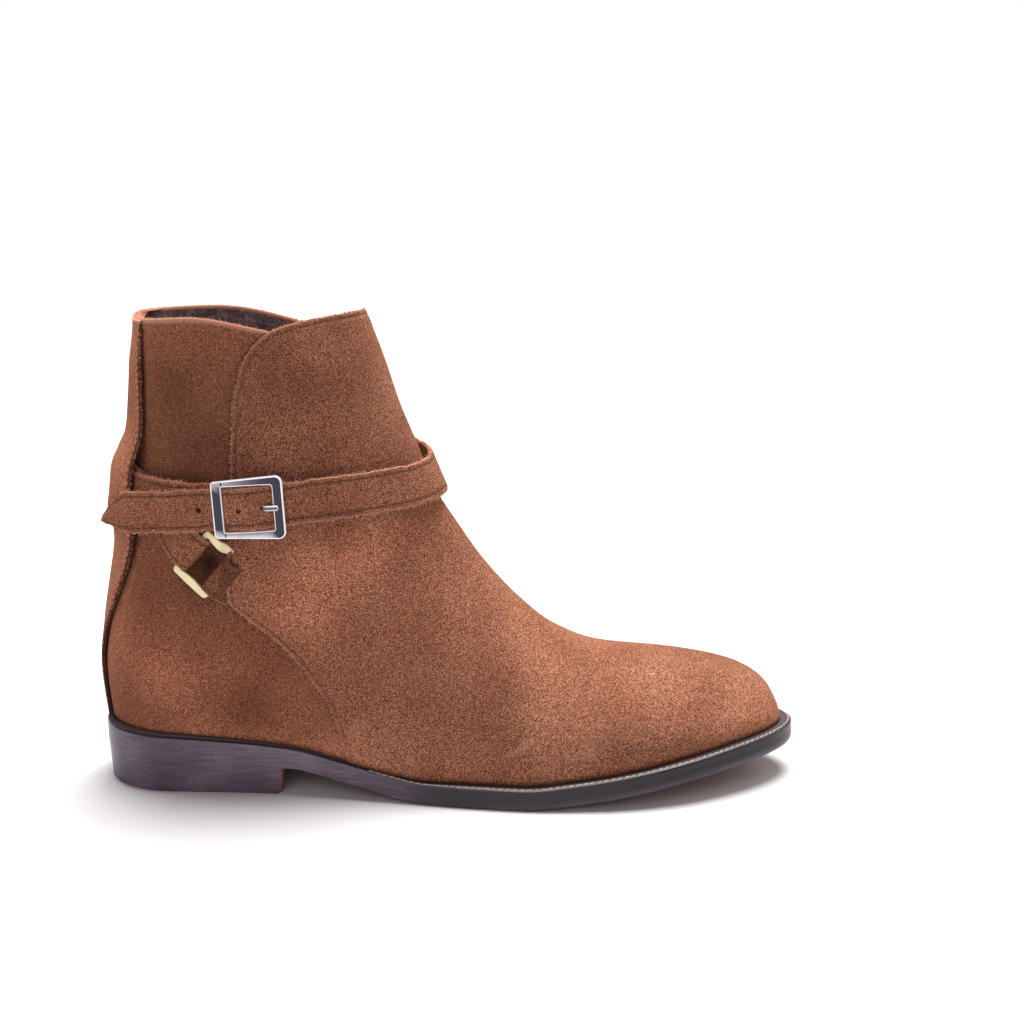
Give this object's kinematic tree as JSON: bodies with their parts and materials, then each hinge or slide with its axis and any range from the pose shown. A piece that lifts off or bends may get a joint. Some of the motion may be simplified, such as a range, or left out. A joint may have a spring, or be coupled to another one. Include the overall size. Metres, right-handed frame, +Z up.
{
  "type": "jodhpur boot",
  "caption": "Ankle boot of brown suede with a curved front flap, a back strip, two wrapped straps closed by a buckle, and a welted sole with a low block heel.",
  "frame": {"origin": "centre of the heel's bottom face, on the floor", "axes": "+X to the toe, +Y to the inner side of the foot, +Z up"},
  "size_m": [0.3013, 0.1016, 0.2012],
  "materials": {
    "suede": "napped suede, warm brown with darker mottling",
    "suede_dark": "napped suede, darker brown",
    "lining": "smooth grey-brown lining",
    "sole_edge": "stacked leather with dark plum-brown edge ink, semi-gloss",
    "buckle_metal": "polished silver plating",
    "ring_metal": "pale antique brass, satin"
  },
  "bodies": {
    "root": {"outsole": "sole_edge", "welt": "sole_edge", "heel": "sole_edge", "insole": "lining", "upper": "suede", "back_strip": "suede", "long_strap": "suede", "buckle_strap": "suede", "outer_ring": "ring_metal", "inner_ring": "ring_metal", "outer_tab": "suede_dark", "inner_tab": "suede_dark", "buckle_frame": "buckle_metal", "buckle_prong": "buckle_metal"}
  },
  "joints": []
}
